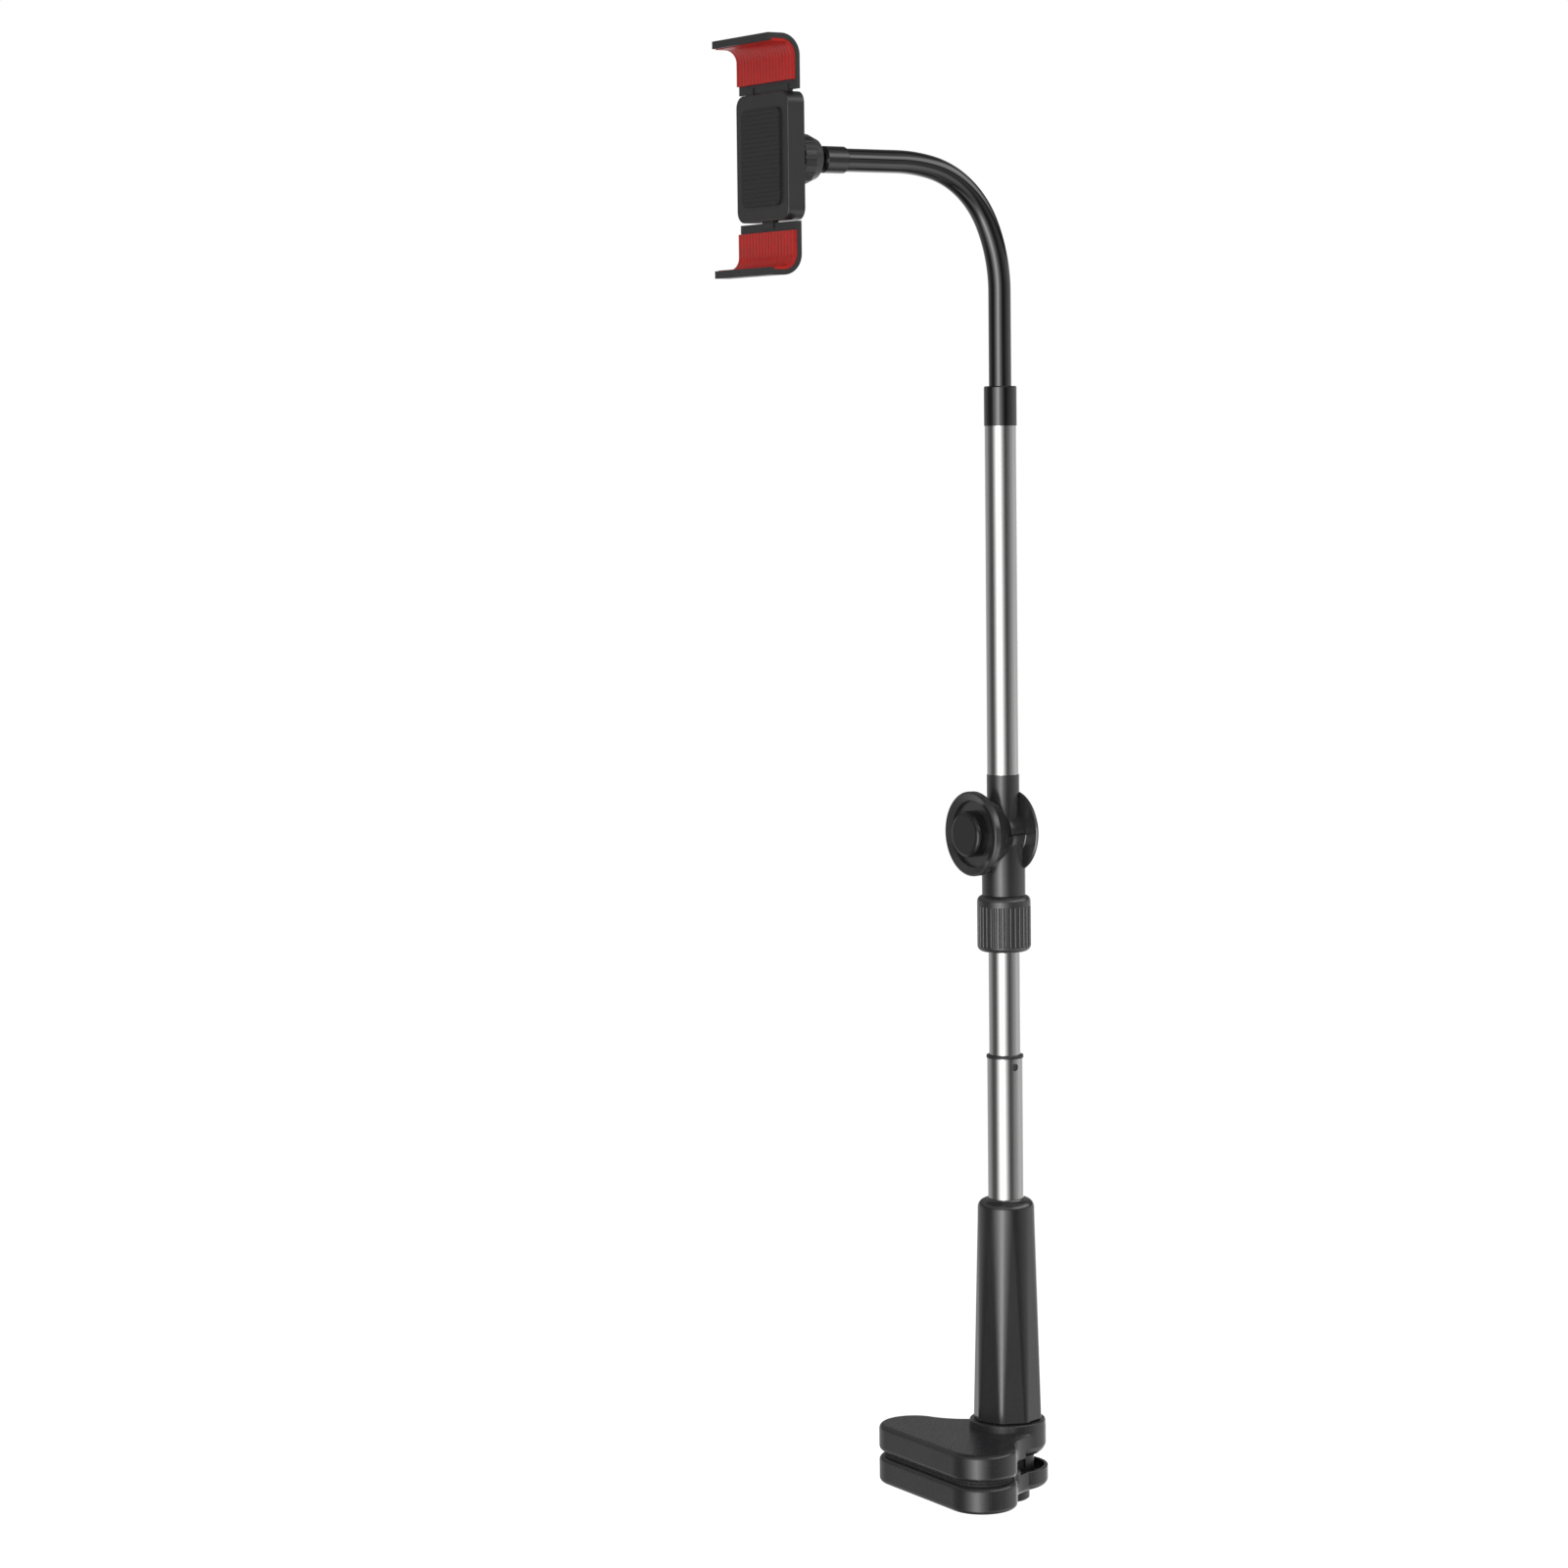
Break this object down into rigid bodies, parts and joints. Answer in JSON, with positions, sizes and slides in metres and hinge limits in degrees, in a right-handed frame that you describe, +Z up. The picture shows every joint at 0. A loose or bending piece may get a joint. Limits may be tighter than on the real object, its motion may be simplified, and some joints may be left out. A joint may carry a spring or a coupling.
{
  "type": "flexible tablet holder",
  "caption": "Clamp-on pole with a tapered screw handle, telescoping tubes, folding elbow, bendable gooseneck and a sprung tablet cradle on a ball joint.",
  "frame": {"origin": "on the pole's axis, at the level of the grip face under the upper jaw's pad", "axes": "+Z up along the pole, -Y the way the gooseneck leads and the cradle faces, +X completes a right-handed frame"},
  "size_m": [0.1344, 0.2343, 1.0113],
  "materials": {
    "clamp_plastic": "satin charcoal",
    "clamp_rubber": "matt",
    "column_plastic": "satin",
    "handle_plastic": "satin charcoal",
    "steel": "plain",
    "nut_brass": "machined",
    "tube_aluminium": "satin drawn tube",
    "bush_plastic": "satin",
    "collar_plastic": "satin charcoal",
    "elbow_plastic": "satin charcoal",
    "button_plastic": "satin",
    "neck_rubber": "smooth glossy skin",
    "ferrule_plastic": "glossy black",
    "tip_metal": "black",
    "liner_plastic": "natural",
    "cradle_plastic": "satin black",
    "cradle_pad": "matt",
    "grip_red": "smooth red"
  },
  "bodies": {
    "upper_jaw": {"upper_jaw_shell": "clamp_plastic", "upper_jaw_plate": "clamp_plastic", "upper_jaw_pad": "clamp_rubber", "upper_jaw_screws": "steel"},
    "lower_jaw": {"lower_jaw_shell": "clamp_plastic", "lower_jaw_plate": "clamp_plastic", "lower_jaw_pad": "clamp_rubber", "lower_jaw_screws": "steel", "guide_column": "column_plastic", "column_nut": "nut_brass", "column_cap": "clamp_plastic"},
    "handle": {"handle_shell": "handle_plastic", "handle_cap": "handle_plastic", "handle_retainer": "steel", "lead_screw": "steel", "tube_pin": "steel", "lower_tube": "tube_aluminium", "tube_bush": "bush_plastic"},
    "mid_pole": {"mid_tube": "tube_aluminium", "mid_tube_plug": "bush_plastic", "snap_spring": "steel"},
    "elbow": {"elbow_fork": "elbow_plastic", "button_ring": "elbow_plastic", "hinge_pin": "steel", "back_cap": "elbow_plastic", "button_spring": "steel"},
    "lock_collar": {"lock_collar": "collar_plastic"},
    "elbow_button": {"elbow_button": "button_plastic"},
    "upper_pole": {"elbow_head": "elbow_plastic", "upper_tube": "tube_aluminium", "neck_ferrule": "ferrule_plastic", "neck_link_1": "neck_rubber"},
    "gooseneck_2": {"neck_link_2": "neck_rubber"},
    "gooseneck_3": {"neck_link_3": "neck_rubber"},
    "gooseneck_4": {"neck_link_4": "neck_rubber"},
    "gooseneck_5": {"neck_link_5": "neck_rubber"},
    "gooseneck_6": {"neck_link_6": "neck_rubber", "neck_tip": "tip_metal"},
    "ball_liner": {"ball_liner": "liner_plastic"},
    "ball_nut": {"ball_lock_nut": "cradle_plastic"},
    "cradle": {"cradle_housing": "cradle_plastic", "cradle_cover": "cradle_plastic", "cover_pad": "cradle_pad", "cradle_screws": "steel", "upper_spring": "steel", "lower_spring": "steel"},
    "upper_arm": {"upper_arm": "cradle_plastic", "upper_grip": "grip_red"},
    "lower_arm": {"lower_arm": "cradle_plastic", "lower_grip": "grip_red"}
  },
  "joints": [
    {"name": "handle_turn", "type": "hinge", "parent": "upper_jaw", "child": "handle", "pos_m": [0, 0, 0.0261], "axis": [0, 0, 1], "range_deg": [0, 2880]},
    {"name": "jaw_slide", "type": "slide", "parent": "upper_jaw", "child": "lower_jaw", "axis": [0, 0, -1], "range_m": [0, 0.0481]},
    {"name": "pole_slide", "type": "slide", "parent": "handle", "child": "mid_pole", "axis": [0, 0, 1], "range_m": [-0.06, 0], "deforming": ["snap_spring"]},
    {"name": "elbow_swivel", "type": "hinge", "parent": "mid_pole", "child": "elbow", "pos_m": [0, 0, 0.3968], "axis": [0, 0, 1], "range_deg": [-180, 180]},
    {"name": "collar_turn", "type": "hinge", "parent": "elbow", "child": "lock_collar", "pos_m": [0, 0, 0.3575], "axis": [0, 0, 1], "range_deg": [-270, 0]},
    {"name": "elbow_fold", "type": "hinge", "parent": "elbow", "child": "upper_pole", "pos_m": [0, 0, 0.4412], "axis": [-0.0471, 0.9989, 0], "range_deg": [-90, 45]},
    {"name": "elbow_press", "type": "slide", "parent": "elbow", "child": "elbow_button", "axis": [-0.0471, 0.9989, 0], "range_m": [0, 0.004], "stiffness_N_per_m": 400, "springref_m": -0.004, "deforming": ["button_spring"]},
    {"name": "neck_bend_1", "type": "hinge", "parent": "upper_pole", "child": "gooseneck_2", "pos_m": [0, 0, 0.7779], "axis": [1, 0, 0], "range_deg": [-15, 15]},
    {"name": "neck_bend_2", "type": "hinge", "parent": "gooseneck_2", "child": "gooseneck_3", "pos_m": [0, -0.00024, 0.8219], "axis": [1, 0, 0], "range_deg": [-15, 15]},
    {"name": "neck_bend_3", "type": "hinge", "parent": "gooseneck_3", "child": "gooseneck_4", "pos_m": [0, -0.01178, 0.86405], "axis": [1, 0, 0], "range_deg": [-15, 15]},
    {"name": "neck_bend_4", "type": "hinge", "parent": "gooseneck_4", "child": "gooseneck_5", "pos_m": [0, -0.04319, 0.89372], "axis": [1, 0, 0], "range_deg": [-15, 15]},
    {"name": "neck_bend_5", "type": "hinge", "parent": "gooseneck_5", "child": "gooseneck_6", "pos_m": [0, -0.08621, 0.90126], "axis": [1, 0, 0], "range_deg": [-15, 15]},
    {"name": "ball_pan", "type": "hinge", "parent": "gooseneck_6", "child": "ball_liner", "pos_m": [0, -0.158, 0.90126], "axis": [0, 0, 1], "range_deg": [-20, 20]},
    {"name": "ball_tilt", "type": "hinge", "parent": "ball_liner", "child": "ball_nut", "pos_m": [0, -0.158, 0.90126], "axis": [1, 0, 0], "range_deg": [-20, 20]},
    {"name": "ball_roll", "type": "hinge", "parent": "ball_nut", "child": "cradle", "pos_m": [0, -0.158, 0.90126], "axis": [0, 1, 0], "range_deg": [-90, 90]},
    {"name": "upper_arm_slide", "type": "slide", "parent": "cradle", "child": "upper_arm", "axis": [0, 0, 1], "range_m": [0, 0.03], "stiffness_N_per_m": 120, "springref_m": -0.04, "deforming": ["upper_spring"]},
    {"name": "lower_arm_slide", "type": "slide", "parent": "cradle", "child": "lower_arm", "axis": [0, 0, -1], "range_m": [0, 0.03], "stiffness_N_per_m": 120, "springref_m": -0.04, "deforming": ["lower_spring"]}
  ],
  "couplings": [
    {"joint": "jaw_slide", "follows": "handle_turn", "m_per_rad": 0.00095493}
  ]
}
